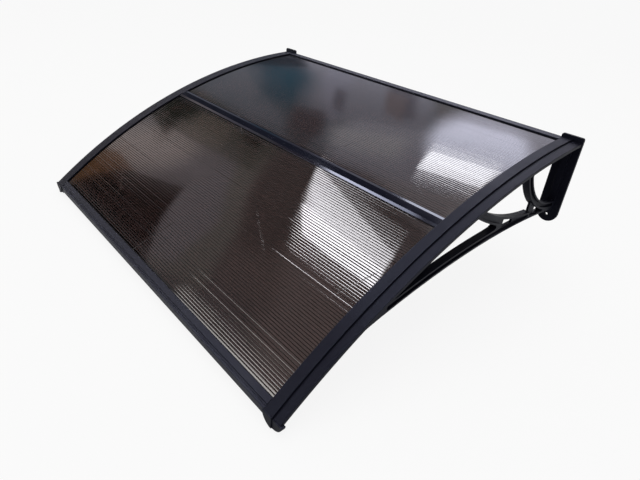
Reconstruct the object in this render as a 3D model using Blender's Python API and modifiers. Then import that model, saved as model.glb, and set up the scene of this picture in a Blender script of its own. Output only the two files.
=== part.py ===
"""Arched door canopy: two twin-wall polycarbonate sheets and three extruded bars
between two moulded wall brackets.

Metres, +Z up. X runs across the door, and -Y points out from the wall, whose face
is the plane y = 0. The origin is the middle of the wall seal's back face. Outlines
seen from the side are lists of (y, z), and a depth is measured from the top face of
the arched rails towards the centre of the arch.
"""

import math

import bmesh
import bpy
from mathutils import Matrix

# The canopy as a whole
BRACKET_SPACING = 1.000       # between the middles of the two bracket webs
REACH = 0.813                 # from the wall to the front bar's front face
ARC_RADIUS = 1.431            # top face of the arched rails
CREST_BEHIND_WALL = 0.0705    # the arch's highest point lies behind the wall face
TOP_HEIGHT = 0.010            # rear bar's top rear edge above the origin
CLEARANCE = 0.0003            # between faces that touch

# Twin-wall sheets, flutes along X
SHEET_THICKNESS = 0.005
FLUTE_PITCH = 0.0055
SKIN_THICKNESS = 0.0007
RIB_THICKNESS = 0.0006

# Rail of a bracket, across X, measured from the middle of its web
LIP_REACH = 0.022             # over the sheet's side edge
LIP_THICKNESS = 0.003
LEDGE_REACH_REAR = 0.0222     # outwards, a little narrower towards the nose
LEDGE_REACH_FRONT = 0.0184
LEDGE_DROP = 0.0035           # the ledge lies lower than the lip
LEDGE_THICKNESS = 0.003
LEDGE_RIM_HEIGHT = 0.007
LEDGE_RIM_THICKNESS = 0.0025
PAD_THICKNESS = 0.006         # root of the rail, which the screws clamp
EDGE_CHAMFER = 0.0006
RAIL_DEPTH = 0.028
TOE_DEPTH = 0.0235            # the rail gets shallower towards the nose
TOE_LENGTH = 0.15

# Arms of a bracket: a web with a strap along each edge
WEB_THICKNESS = 0.005
STRAP_WIDTH = 0.016
STRAP_THICKNESS = 0.004
BRACE_RADIUS = 1.660          # lower face of the brace
BRACE_CREST_OUT = 0.190
BRACE_CREST_DROP = 0.147
BRACE_THICKNESS = 0.0168
LOWER_SCROLL_RADIUS = 0.500   # upper face of the scroll arc above the brace
LOWER_SCROLL_OUT = 0.088
LOWER_SCROLL_DROP = 0.134
LOWER_SCROLL_THICKNESS = 0.0188
UPPER_SCROLL_RADIUS = 0.193   # front face of the scroll arc next to the wall
UPPER_SCROLL_OUT = 0.007
UPPER_SCROLL_DROP = 0.151
UPPER_SCROLL_THICKNESS = 0.016
POST_OUT = 0.126              # plain web between the scrolls, to its front edge
POST_THICKNESS = 0.027
BRACE_JOINT = 0.18            # about where the brace leaves the rail, from the front
TIP_ROUNDING = 0.055          # rounds the gap under the lower scroll
CORNER_ROUNDING = 0.006
WEB_HOLE_MARGIN = 0.0035      # the small web holes stay off the straps
FRONT_HOLE_OUT = 0.231
FRONT_HOLE_LENGTH = 0.038
REAR_HOLE_LENGTH = 0.033

# Wall plate and nose of a bracket
PLATE_WIDTH = 0.050
PLATE_INWARD = 0.0012         # its middle lies a little inwards from the web
PLATE_THICKNESS = 0.006
PLATE_TOP = 0.018
PLATE_END_DROP = 0.1675       # from the origin down to the middle of the round end
PLATE_BEVEL = 0.0015
PLATE_CORNER = 0.005
WALL_HOLE_DROP = 0.175
WALL_HOLE_RADIUS = 0.0035
UPPER_HOLE_SIDE = 0.0125      # upper hole, inwards from the web, under the rail
UPPER_HOLE_DROP = 0.030
UPPER_HOLE_RADIUS = 0.003
NOSE_SIDE = 0.0240            # to either side of the middle of the web
NOSE_DROP = 0.0237
NOSE_THICKNESS = 0.009
NOSE_PROUD = 0.0022           # the nose's inner half covers the front bar's end
NOSE_BEVEL = 0.0018

# Extruded bars
FLANGE_THICKNESS = 0.0018
REAR_BAR_REACH = 0.026        # from the wall to the rear bar's front edge
REAR_BAR_BACK = 0.0055        # solid back, behind the sheet's slot
REAR_BAR_HEIGHT = 0.022
REAR_GROOVE_OUT = 0.0135      # fine line along the top
MID_BAR_WIDTH = 0.0285
MID_BAR_FLAT = 0.0155
MID_BAR_RISE = 0.0022         # above its flange's underside
MID_BAR_EDGE = 0.0012
MID_BAR_FOOT = 0.024
MID_BAR_WEB = 0.002
MID_BAR_PLACE = 0.4327        # along the arch, from the rear end to the bar's middle
FRONT_BAR_WIDTH = 0.0215
FRONT_BAR_HEIGHT = 0.0123
FRONT_BEAD = 0.0045
FRONT_GUTTER = 0.0045
FRONT_GUTTER_DEPTH = 0.0015
FRONT_SLOT_DEPTH = 0.0125
FRONT_WALL = 0.002
FRONT_FOOT = 0.0245           # flange under the sheet, with the screw ports
EDGE_RADIUS = 0.0006
PORT_SPACING = 0.010          # between the two screw ports of a bar
PORT_WALL = 0.0018

# Screws and the bosses that they pass through
SCREW_RADIUS = 0.002
SCREW_GRIP = 0.012            # length inside the bar
HEAD_RADIUS = 0.0038
HEAD_HEIGHT = 0.0026
BOSS_RADIUS = 0.0045

# Wall seal
SEAL_HEIGHT = 0.012
SEAL_TONGUE_HEIGHT = 0.0036
SEAL_TONGUE_DEPTH = 0.0014

# Steps along round forms
RAIL_STEPS = 30
BRACE_STEPS = 14
SCROLL_STEPS = 9
CORNER_STEPS = 3
HOLE_STEPS = 14
PORT_STEPS = 8
SCREW_STEPS = 12
FLUTES_PER_STEP = 4

half_spacing = BRACKET_SPACING / 2
arch_y = CREST_BEHIND_WALL
arch_z = TOP_HEIGHT - math.sqrt(ARC_RADIUS ** 2 - (arch_y + PLATE_THICKNESS) ** 2)
sheet_top = LIP_THICKNESS + CLEARANCE
sheet_bottom = sheet_top + SHEET_THICKNESS
slot_floor = sheet_bottom + CLEARANCE
lower_lip = slot_floor + LIP_THICKNESS
port_hole = SCREW_RADIUS + CLEARANCE
port_radius = port_hole + PORT_WALL
port_depth = slot_floor + FLANGE_THICKNESS + port_radius * 0.85
pad_bottom = port_depth + HEAD_RADIUS + STRAP_THICKNESS / 2
bar_back = PLATE_THICKNESS + CLEARANCE
bar_end = half_spacing - LIP_REACH - CLEARANCE


def remove_all_objects():
    for item in list(bpy.data.objects):
        bpy.data.objects.remove(item, do_unlink=True)


def new_collection(name):
    collection = bpy.data.collections.new(name)
    bpy.context.scene.collection.children.link(collection)
    return collection


def new_material(name, colour, roughness, metallic=0.0, transmission=0.0):
    material = bpy.data.materials.new(name)
    material.use_nodes = True
    shader = material.node_tree.nodes["Principled BSDF"]
    shader.inputs["Base Color"].default_value = (*colour, 1.0)
    shader.inputs["Roughness"].default_value = roughness
    shader.inputs["Metallic"].default_value = metallic
    shader.inputs["Transmission Weight"].default_value = transmission
    material.diffuse_color = (*colour, 1.0)
    return material


# Places on the arch
def on_arch(angle, depth):
    """The point at an angle from straight up, a depth below the rails' top face."""
    radius = ARC_RADIUS - depth
    return (arch_y + radius * math.sin(angle), arch_z + radius * math.cos(angle))


def angle_at(out, depth=0.0):
    """The angle at which a depth's circle stands a distance out from the wall."""
    return math.asin((-out - arch_y) / (ARC_RADIUS - depth))


def below_arch(out, depth):
    return on_arch(angle_at(out, depth), depth)


rear_angle = angle_at(PLATE_THICKNESS)
front_angle = angle_at(REACH)
mid_angle = rear_angle - MID_BAR_PLACE / ARC_RADIUS


def behind_front(distance, depth):
    """A point by its distance along the arch, back from the front bar's top edge."""
    return on_arch(front_angle + distance / ARC_RADIUS, depth)


def beside_mid(distance, depth):
    """A point by its distance along the arch, towards the wall from the mid bar."""
    return on_arch(mid_angle + distance / ARC_RADIUS, depth)


def between(first, last, steps):
    return [first + (last - first) * index / steps for index in range(steps + 1)]


# Circles, seen from the side as (y, z, radius)
def grown(circle, extra):
    return (circle[0], circle[1], circle[2] + extra)


def hung_circle(out, drop, radius):
    """A circle whose lowest point is a distance out from the wall and below the origin."""
    return (-out, radius - drop, radius)


def crowned_circle(out, drop, radius):
    """A circle whose highest point is a distance out from the wall and below the origin."""
    return (-out, -drop - radius, radius)


def meeting(first, second, near):
    """The crossing of two circles that lies nearer to a given point."""
    across = second[0] - first[0]
    up = second[1] - first[1]
    apart = math.hypot(across, up)
    share = (first[2] ** 2 - second[2] ** 2 + apart ** 2) / (2 * apart)
    height = math.sqrt(first[2] ** 2 - share ** 2)
    middle = (first[0] + share * across / apart, first[1] + share * up / apart)
    crossings = []
    for sign in (-1, 1):
        crossings.append((middle[0] - sign * height * up / apart,
                          middle[1] + sign * height * across / apart))
    return min(crossings, key=lambda point: math.dist(point, near))


def at_distance(circle, out, below):
    """The circle's point at a distance out from the wall, on its lower or upper half."""
    rise = math.sqrt(circle[2] ** 2 - (-out - circle[0]) ** 2)
    return (-out, circle[1] - rise if below else circle[1] + rise)


def arc_between(circle, start, end, steps):
    """Points along a circle, the short way from one of its points to another."""
    first = math.atan2(start[0] - circle[0], start[1] - circle[1])
    last = math.atan2(end[0] - circle[0], end[1] - circle[1])
    turn = (last - first + math.pi) % (2 * math.pi) - math.pi
    points = []
    for angle in between(first, first + turn, steps):
        points.append((circle[0] + circle[2] * math.sin(angle),
                       circle[1] + circle[2] * math.cos(angle)))
    return points


# Outlines
def cut_start(points, length):
    """A line of points with a length taken off its start."""
    left = length
    for index in range(len(points) - 1):
        step = math.dist(points[index], points[index + 1])
        if step > left:
            share = left / step
            start = tuple(a + (b - a) * share
                          for a, b in zip(points[index], points[index + 1]))
            return [start] + points[index + 1:]
        left -= step
    return points[-1:]


def closed_outline(sides, roundings):
    """Joins sides into one loop. Each side's start corner is rounded by its length."""
    count = len(sides)
    loop = []
    for index in range(count):
        following = (index + 1) % count
        side = cut_start(sides[index], roundings[index])
        side = cut_start(side[::-1], roundings[following])[::-1]
        loop.extend(side if roundings[following] else side[:-1])
        if roundings[following]:
            corner = sides[index][-1]
            leaving = cut_start(sides[following], roundings[following])[0]
            for step in range(1, CORNER_STEPS + 1):
                share = step / (CORNER_STEPS + 1)
                loop.append(tuple((1 - share) ** 2 * a + 2 * share * (1 - share) * b
                                  + share ** 2 * c
                                  for a, b, c in zip(side[-1], corner, leaving)))
    return loop


def rounded_polygon(corners, radius):
    """A straight-sided loop whose corners are rounded where they have a mark."""
    points = [corner[:2] for corner in corners]
    sides = []
    roundings = []
    for index, corner in enumerate(corners):
        sides.append([points[index], points[(index + 1) % len(points)]])
        roundings.append(radius if len(corner) > 2 else 0.0)
    return closed_outline(sides, roundings)


def circle_loop(centre, radius, steps):
    return [(centre[0] + radius * math.cos(angle), centre[1] + radius * math.sin(angle))
            for angle in between(0, 2 * math.pi, steps)[:-1]]


# Solids
SIDE_VIEW = Matrix(((0, 0, 1, 0), (1, 0, 0, 0), (0, 1, 0, 0), (0, 0, 0, 1)))
FRONT_VIEW = Matrix.Rotation(math.pi / 2, 4, "X")


def prism(name, loops, low, high, view, collection):
    """A flat outline with its holes, drawn in a view and extruded along X or Y."""
    curve = bpy.data.curves.new(name, "CURVE")
    curve.dimensions = "2D"
    curve.fill_mode = "BOTH"
    curve.extrude = (high - low) / 2
    for loop in loops:
        spline = curve.splines.new("POLY")
        spline.points.add(len(loop) - 1)
        spline.use_cyclic_u = True
        for point, place in zip(spline.points, loop):
            point.co = (place[0], place[1], 0, 1)
    drawn = bpy.data.objects.new(name + "_outline", curve)
    collection.objects.link(drawn)
    axis = (1, 0, 0) if view == SIDE_VIEW else (0, 1, 0)
    middle = (low + high) / 2
    drawn.matrix_world = Matrix.Translation([middle * part for part in axis]) @ view
    mesh = baked_mesh(drawn)
    weld(mesh)
    solid = bpy.data.objects.new(name, mesh)
    collection.objects.link(solid)
    solid.matrix_world = drawn.matrix_world
    bpy.data.objects.remove(drawn, do_unlink=True)
    return solid


def baked_mesh(item):
    bpy.context.view_layer.update()
    evaluated = item.evaluated_get(bpy.context.evaluated_depsgraph_get())
    return bpy.data.meshes.new_from_object(evaluated)


def weld(mesh):
    shape = bmesh.new()
    shape.from_mesh(mesh)
    bmesh.ops.remove_doubles(shape, verts=shape.verts, dist=0.00001)
    bmesh.ops.recalc_face_normals(shape, faces=shape.faces)
    shape.to_mesh(mesh)
    shape.free()


def box(name, low, high, collection):
    mesh = bpy.data.meshes.new(name)
    shape = bmesh.new()
    bmesh.ops.create_cube(shape, size=1.0)
    size = [b - a for a, b in zip(low, high)]
    centre = [(a + b) / 2 for a, b in zip(low, high)]
    bmesh.ops.scale(shape, vec=size, verts=shape.verts)
    bmesh.ops.translate(shape, vec=centre, verts=shape.verts)
    shape.to_mesh(mesh)
    shape.free()
    solid = bpy.data.objects.new(name, mesh)
    collection.objects.link(solid)
    return solid


def rods(name, centres, radius, low, high, steps, collection):
    """Round rods along X, one at each (y, z)."""
    mesh = bpy.data.meshes.new(name)
    shape = bmesh.new()
    for centre in centres:
        place = Matrix.Translation(((low + high) / 2, centre[0], centre[1]))
        bmesh.ops.create_cone(shape, cap_ends=True, segments=steps, radius1=radius,
                              radius2=radius, depth=high - low,
                              matrix=place @ Matrix.Rotation(math.pi / 2, 4, "Y"))
    shape.to_mesh(mesh)
    shape.free()
    solid = bpy.data.objects.new(name, mesh)
    collection.objects.link(solid)
    return solid


def add_boolean(target, tool, operation):
    modifier = target.modifiers.new(tool.name, "BOOLEAN")
    modifier.operation = operation
    modifier.solver = "EXACT"
    modifier.object = tool
    tool.hide_render = True
    tool.display_type = "WIRE"


def add_bevel(target, width, segments):
    modifier = target.modifiers.new("edge", "BEVEL")
    modifier.width = width
    modifier.segments = segments
    modifier.limit_method = "ANGLE"
    modifier.angle_limit = math.radians(40)


def shade_smooth(item, angle=30):
    item.data.shade_smooth()
    item.data.set_sharp_from_angle(angle=math.radians(angle))


# Circles that the bracket's arms are drawn with
rail_low = (arch_y, arch_z, ARC_RADIUS - RAIL_DEPTH)
brace_low = crowned_circle(BRACE_CREST_OUT, BRACE_CREST_DROP, BRACE_RADIUS)
brace_high = grown(brace_low, BRACE_THICKNESS)
lower_scroll_high = hung_circle(LOWER_SCROLL_OUT, LOWER_SCROLL_DROP, LOWER_SCROLL_RADIUS)
lower_scroll_low = grown(lower_scroll_high, LOWER_SCROLL_THICKNESS)
upper_scroll_front = hung_circle(UPPER_SCROLL_OUT, UPPER_SCROLL_DROP, UPPER_SCROLL_RADIUS)
upper_scroll_back = grown(upper_scroll_front, -UPPER_SCROLL_THICKNESS)
plate_middle = PLATE_THICKNESS / 2
arm_rear = PLATE_THICKNESS + STRAP_THICKNESS
nose_back = REACH - NOSE_THICKNESS


def rail_underside(angle):
    """Depth of the rail at an angle, easing to the toe's depth in front."""
    toe_turn = TOE_LENGTH / ARC_RADIUS
    share = min(max((front_angle + toe_turn - angle) / toe_turn, 0.0), 1.0)
    ease = share * share * (3 - 2 * share)
    return RAIL_DEPTH + (TOE_DEPTH - RAIL_DEPTH) * ease


def rail_crossing(circle, guess_out):
    return meeting(rail_low, circle, below_arch(guess_out, RAIL_DEPTH))


def arm_outline():
    """Outer edge of the bracket's arms, from the wall plate to the nose."""
    root = (slot_floor + lower_lip) / 2
    rear = angle_at(plate_middle, root)
    front = angle_at(REACH - NOSE_THICKNESS / 2, root)
    top = [on_arch(angle, root) for angle in between(rear, front, RAIL_STEPS)]
    joint = rail_crossing(brace_low, REACH - BRACE_JOINT)
    toe = angle_at(REACH - NOSE_THICKNESS / 2, TOE_DEPTH)
    start = math.atan2(joint[0] - arch_y, joint[1] - arch_z)
    under = [on_arch(angle, rail_underside(angle)) for angle in between(toe, start, 10)]
    end = at_distance(brace_low, plate_middle, below=False)
    brace = arc_between(brace_low, joint, end, BRACE_STEPS)
    sides = [top, [top[-1], under[0]], under, brace, [brace[-1], top[0]]]
    return closed_outline(sides, [0, 0, 0, CORNER_ROUNDING * 4, 0])


def front_gap():
    """Long gap between the rail and the brace."""
    front = rail_crossing(brace_high, REACH - BRACE_JOINT * 1.5)
    rear = rail_crossing(lower_scroll_low, LOWER_SCROLL_RADIUS / 2 + LOWER_SCROLL_OUT)
    tip = meeting(lower_scroll_low, brace_high, (-FRONT_HOLE_OUT, -BRACE_CREST_DROP))
    sides = [arc_between(rail_low, front, rear, RAIL_STEPS // 3),
             arc_between(lower_scroll_low, rear, tip, SCROLL_STEPS),
             arc_between(brace_high, tip, front, BRACE_STEPS)]
    return closed_outline(sides, [CORNER_ROUNDING, CORNER_ROUNDING, TIP_ROUNDING])


def middle_gap():
    """Gap between the rail and the two scroll arcs."""
    front = rail_crossing(lower_scroll_high, LOWER_SCROLL_RADIUS / 2 + LOWER_SCROLL_OUT)
    rear = rail_crossing(upper_scroll_front, UPPER_SCROLL_RADIUS)
    high = at_distance(upper_scroll_front, POST_OUT, below=True)
    low = at_distance(lower_scroll_high, POST_OUT, below=True)
    sides = [arc_between(rail_low, front, rear, RAIL_STEPS // 6),
             arc_between(upper_scroll_front, rear, high, SCROLL_STEPS),
             [high, low],
             arc_between(lower_scroll_high, low, front, SCROLL_STEPS)]
    roundings = [CORNER_ROUNDING, CORNER_ROUNDING, CORNER_ROUNDING / 3,
                 CORNER_ROUNDING / 3]
    return closed_outline(sides, roundings)


def rear_gap():
    """Gap between the rail, the upper scroll arc and the wall plate."""
    front = rail_crossing(upper_scroll_back, UPPER_SCROLL_RADIUS)
    top = at_distance(rail_low, arm_rear, below=False)
    foot = at_distance(upper_scroll_back, arm_rear, below=True)
    sides = [arc_between(rail_low, front, top, RAIL_STEPS // 6),
             [top, foot],
             arc_between(upper_scroll_back, foot, front, SCROLL_STEPS + 3)]
    return closed_outline(sides, [CORNER_ROUNDING] * 3)


def hole_between(upper, lower, out, length, rounding):
    """A small web hole between two circles, from a distance out back to the wall."""
    high_front = at_distance(upper, out, below=True)
    high_rear = at_distance(upper, out - length, below=True)
    low_front = at_distance(lower, out, below=False)
    low_rear = at_distance(lower, out - length, below=False)
    sides = [arc_between(upper, high_front, high_rear, 4),
             [high_rear, low_rear],
             arc_between(lower, low_rear, low_front, 4),
             [low_front, high_front]]
    return closed_outline(sides, [rounding] * 4)


strap_above_brace = grown(brace_low, STRAP_THICKNESS)
strap_under_scroll = grown(lower_scroll_high, STRAP_THICKNESS)


def front_hole():
    return hole_between(grown(strap_under_scroll, WEB_HOLE_MARGIN),
                        grown(strap_above_brace, WEB_HOLE_MARGIN),
                        FRONT_HOLE_OUT, FRONT_HOLE_LENGTH, CORNER_ROUNDING / 2)


def rear_hole():
    return hole_between(grown(upper_scroll_front, CLEARANCE),
                        grown(strap_above_brace, CLEARANCE),
                        POST_OUT - POST_THICKNESS, REAR_HOLE_LENGTH,
                        CORNER_ROUNDING / 4)


# Recesses on both faces of the arms, which leave the web and its straps
def rail_recess():
    rear = angle_at(PLATE_THICKNESS, RAIL_DEPTH)
    front = angle_at(nose_back, TOE_DEPTH)
    angles = between(rear, front, RAIL_STEPS)
    top = [on_arch(angle, LEDGE_DROP) for angle in angles[::5]]
    low = [on_arch(angle, rail_underside(angle) - STRAP_THICKNESS) for angle in angles]
    return top + low[::-1]


def upper_scroll_recess():
    outer = grown(upper_scroll_front, -STRAP_THICKNESS)
    inner = grown(upper_scroll_back, STRAP_THICKNESS)
    outer_top = rail_crossing(outer, UPPER_SCROLL_RADIUS)
    inner_top = rail_crossing(inner, UPPER_SCROLL_RADIUS)
    outer_foot = at_distance(outer, arm_rear, below=True)
    inner_foot = at_distance(inner, arm_rear, below=True)
    sides = [arc_between(outer, outer_top, outer_foot, SCROLL_STEPS),
             [outer_foot, inner_foot],
             arc_between(inner, inner_foot, inner_top, SCROLL_STEPS),
             [inner_top, outer_top]]
    return closed_outline(sides, [STRAP_THICKNESS / 3] * 4)


def lower_recess():
    """The recess in the brace and the lower scroll, round the tip of the front gap."""
    scroll_strap = grown(lower_scroll_low, -STRAP_THICKNESS)
    brace_strap = grown(brace_high, -STRAP_THICKNESS)
    brace_front = -rail_crossing(brace_high, REACH - BRACE_JOINT * 1.5)[0]
    post_front = POST_OUT + STRAP_THICKNESS
    low_front = at_distance(strap_above_brace, brace_front, below=False)
    low_rear = at_distance(strap_above_brace, post_front, below=False)
    high_rear = at_distance(strap_under_scroll, post_front, below=True)
    guess = LOWER_SCROLL_RADIUS / 2 + LOWER_SCROLL_OUT
    scroll_top = rail_crossing(strap_under_scroll, guess)
    scroll_end = rail_crossing(scroll_strap, guess)
    tip = meeting(scroll_strap, brace_strap, (-FRONT_HOLE_OUT, -BRACE_CREST_DROP))
    high_front = at_distance(brace_strap, brace_front, below=False)
    sides = [arc_between(strap_above_brace, low_front, low_rear, BRACE_STEPS),
             [low_rear, high_rear],
             arc_between(strap_under_scroll, high_rear, scroll_top, SCROLL_STEPS),
             [scroll_top, scroll_end],
             arc_between(scroll_strap, scroll_end, tip, SCROLL_STEPS),
             arc_between(brace_strap, tip, high_front, BRACE_STEPS),
             [high_front, low_front]]
    small = STRAP_THICKNESS / 3
    return closed_outline(sides, [small, small, small, small, small,
                                  TIP_ROUNDING * 1.25, small])


def rear_recess():
    """The recess under the upper scroll, open to the middle gap at its front end."""
    return hole_between(upper_scroll_front, strap_above_brace,
                        POST_OUT + CLEARANCE, POST_THICKNESS + REAR_HOLE_LENGTH * 1.1,
                        CORNER_ROUNDING / 4)


def rail_section(ledge_reach):
    """Cross-section of a rail, as (x, depth), from the lip's inner edge round."""
    pad = PAD_THICKNESS / 2
    ledge_top = LEDGE_DROP
    ledge_low = LEDGE_DROP + LEDGE_THICKNESS
    rim_low = LEDGE_DROP + LEDGE_RIM_HEIGHT
    rim_inside = ledge_reach - LEDGE_RIM_THICKNESS
    return [(-LIP_REACH, EDGE_CHAMFER), (-LIP_REACH + EDGE_CHAMFER, 0),
            (-EDGE_CHAMFER, 0), (0, EDGE_CHAMFER), (0, ledge_top),
            (ledge_reach - EDGE_CHAMFER, ledge_top),
            (ledge_reach, ledge_top + EDGE_CHAMFER), (ledge_reach, rim_low),
            (rim_inside, rim_low), (rim_inside, ledge_low), (pad, ledge_low),
            (pad, pad_bottom), (-pad, pad_bottom), (-pad, lower_lip),
            (-LIP_REACH, lower_lip), (-LIP_REACH, slot_floor), (-pad, slot_floor),
            (-pad, LIP_THICKNESS), (-LIP_REACH, LIP_THICKNESS)]


def swept_rail(collection):
    """The rail's section, swept round the middle of the arch."""
    start = angle_at(plate_middle)
    end = angle_at(REACH - CLEARANCE)
    mesh = bpy.data.meshes.new("rail")
    shape = bmesh.new()
    rings = []
    for angle in between(start, end, RAIL_STEPS):
        share = (angle - start) / (end - start)
        reach = LEDGE_REACH_REAR + (LEDGE_REACH_FRONT - LEDGE_REACH_REAR) * share
        ring = []
        for x, depth in rail_section(reach):
            place = on_arch(angle, depth)
            ring.append(shape.verts.new((x, place[0], place[1])))
        rings.append(ring)
    shape.faces.new(rings[0])
    shape.faces.new(rings[-1])
    for ring, following in zip(rings, rings[1:]):
        for index in range(len(ring)):
            shape.faces.new((ring[index - 1], ring[index],
                             following[index], following[index - 1]))
    bmesh.ops.recalc_face_normals(shape, faces=shape.faces)
    shape.to_mesh(mesh)
    shape.free()
    rail = bpy.data.objects.new("rail", mesh)
    collection.objects.link(rail)
    return rail


def wall_plate(collection):
    """The upright plate with its half-round lower end, seen from the front."""
    radius = PLATE_WIDTH / 2
    outer = radius - PLATE_INWARD
    inner = -radius - PLATE_INWARD
    end = [(radius * math.cos(angle) - PLATE_INWARD,
            -PLATE_END_DROP - radius * math.sin(angle))
           for angle in between(0, math.pi, HOLE_STEPS)]
    top = rounded_polygon([(inner, 0), (inner, PLATE_TOP, "round"),
                           (outer, PLATE_TOP, "round"), (outer, 0)], PLATE_CORNER)
    loop = end + [point for point in top if point[1] > 0]
    plate = prism("wall_plate", [loop], -PLATE_THICKNESS, 0, FRONT_VIEW, collection)
    add_bevel(plate, PLATE_BEVEL, 2)
    return plate


def nose(collection):
    """The half-round front end, whose inner half stands proud over the front bar."""
    top = behind_front(0, 0)[1]
    loop = [(NOSE_SIDE * math.cos(angle), top - NOSE_DROP * math.sin(angle))
            for angle in between(0, math.pi, HOLE_STEPS)]
    solid = prism("nose", [loop], -REACH - NOSE_PROUD, -nose_back, FRONT_VIEW,
                  collection)
    low = top - NOSE_SIDE * 2
    high = top + NOSE_SIDE
    front_cut = box("nose_front_cut", (0, -REACH - NOSE_PROUD * 2, low),
                    (NOSE_SIDE * 2, -REACH, high), collection)
    top_cut = box("nose_top_cut", (0, -REACH * 1.1, top - LEDGE_DROP),
                  (NOSE_SIDE * 2, -nose_back * 0.9, high), collection)
    bar_cut = box("nose_bar_cut", (-NOSE_SIDE * 2, -REACH - CLEARANCE, low),
                  (-LIP_REACH, -nose_back * 0.9, high), collection)
    for cutter in (front_cut, top_cut, bar_cut):
        add_boolean(solid, cutter, "DIFFERENCE")
    add_bevel(solid, NOSE_BEVEL, 2)
    return solid


# Screw places, seen from the side
def rear_ports():
    middle = (bar_back + REAR_BAR_REACH) / 2
    return [below_arch(middle - PORT_SPACING / 2, port_depth),
            below_arch(middle + PORT_SPACING / 2, port_depth)]


def mid_ports():
    return [beside_mid(-PORT_SPACING / 2, port_depth),
            beside_mid(PORT_SPACING / 2, port_depth)]


def front_ports():
    rear = FRONT_FOOT - port_radius
    return [behind_front(rear - PORT_SPACING, port_depth),
            behind_front(rear, port_depth)]


def bracket_body(collection):
    """One bracket about the middle of its web, outer side towards +X."""
    strap = STRAP_WIDTH / 2
    web = WEB_THICKNESS / 2
    loops = [arm_outline(), front_gap(), middle_gap(), rear_gap(), front_hole(),
             rear_hole()]
    body = prism("bracket_body", loops, -strap, strap, SIDE_VIEW, collection)
    recesses = (("rail_recess", rail_recess()), ("upper_scroll_recess",
                upper_scroll_recess()), ("lower_recess", lower_recess()),
                ("rear_recess", rear_recess()))
    for name, loop in recesses:
        for side, low, high in (("_outer", web, strap * 2), ("_inner", -strap * 2, -web)):
            cutter = prism(name + side, [loop], low, high, SIDE_VIEW, collection)
            add_boolean(body, cutter, "DIFFERENCE")
    add_boolean(body, swept_rail(collection), "UNION")
    add_boolean(body, wall_plate(collection), "UNION")
    add_boolean(body, nose(collection), "UNION")
    ports = rear_ports() + mid_ports() + front_ports()
    bosses = rods("bosses", ports, BOSS_RADIUS, -LIP_REACH, -web, SCREW_STEPS,
                  collection)
    add_boolean(body, bosses, "UNION")
    bores = rods("screw_bores", ports, port_hole, -LIP_REACH * 1.1, LIP_REACH / 2,
                 SCREW_STEPS, collection)
    add_boolean(body, bores, "DIFFERENCE")
    for name, place, radius in (
            ("wall_hole", (-PLATE_INWARD, -WALL_HOLE_DROP), WALL_HOLE_RADIUS),
            ("upper_wall_hole", (-UPPER_HOLE_SIDE, -UPPER_HOLE_DROP), UPPER_HOLE_RADIUS)):
        drill = prism(name, [circle_loop(place, radius, HOLE_STEPS)],
                      -PLATE_THICKNESS * 2, PLATE_THICKNESS, FRONT_VIEW, collection)
        add_boolean(body, drill, "DIFFERENCE")
    body.hide_render = True
    body.display_type = "WIRE"
    return body


def bracket(name, body, side, material, collection):
    """A finished bracket, as drawn on the right and mirrored on the left."""
    mesh = baked_mesh(body)
    mesh.name = name
    mesh.transform(body.matrix_world)
    if side < 0:
        mesh.transform(Matrix.Diagonal((-1, 1, 1, 1)))
        mesh.flip_normals()
    mesh.materials.clear()
    mesh.materials.append(material)
    item = bpy.data.objects.new(name, mesh)
    item.location = (side * half_spacing, 0, 0)
    collection.objects.link(item)
    shade_smooth(item)


def sheet(name, start, end, material, collection):
    """A twin-wall sheet, bent round the arch between two angles."""
    turn = FLUTE_PITCH / (ARC_RADIUS - (sheet_top + sheet_bottom) / 2)
    count = int(abs(end - start) / turn)
    margin = (abs(end - start) - count * turn) / 2
    first = start - margin
    steps = max(count // FLUTES_PER_STEP, 1)
    angles = between(start, end, steps)
    outer = [on_arch(angle, sheet_top) for angle in angles]
    outer += [on_arch(angle, sheet_bottom) for angle in reversed(angles)]
    loops = [outer]
    rib = RIB_THICKNESS / ARC_RADIUS / 2
    high = sheet_top + SKIN_THICKNESS
    low = sheet_bottom - SKIN_THICKNESS
    for index in range(count):
        near = first - index * turn - rib
        far = first - (index + 1) * turn + rib
        loops.append([on_arch(near, high), on_arch(far, high),
                      on_arch(far, low), on_arch(near, low)])
    side = half_spacing - PAD_THICKNESS / 2 - CLEARANCE
    item = prism(name, loops, -side, side, SIDE_VIEW, collection)
    item.data.materials.append(material)


# Bars
def port_bulge(centre, start, end, steps=PORT_STEPS):
    """The outside of a screw port, from one point of a flange round to another."""
    circle = (centre[0], centre[1], port_radius)
    first = math.atan2(start[0] - centre[0], start[1] - centre[1])
    last = math.atan2(end[0] - centre[0], end[1] - centre[1])
    turn = (last - first) % (2 * math.pi)
    points = []
    for angle in between(first, first + turn, steps):
        points.append((circle[0] + circle[2] * math.sin(angle),
                       circle[1] + circle[2] * math.cos(angle)))
    return points


def flange_ports(ports, line_depth):
    """The underside of a flange with its ports' bulges, from the rear to the front."""
    flange = (arch_y, arch_z, ARC_RADIUS - line_depth)
    points = []
    for centre in ports:
        circle = (centre[0], centre[1], port_radius)
        rear = meeting(flange, circle, (centre[0] + port_radius, centre[1]))
        front = meeting(flange, circle, (centre[0] - port_radius, centre[1]))
        points += port_bulge(centre, rear, front)
    return points


def bar(name, loops, reach, material, collection):
    item = prism(name, loops, -reach, reach, SIDE_VIEW, collection)
    item.data.materials.append(material)
    shade_smooth(item, 25)


def port_holes(ports):
    return [circle_loop(centre, port_hole, PORT_STEPS + 2) for centre in ports]


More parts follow.
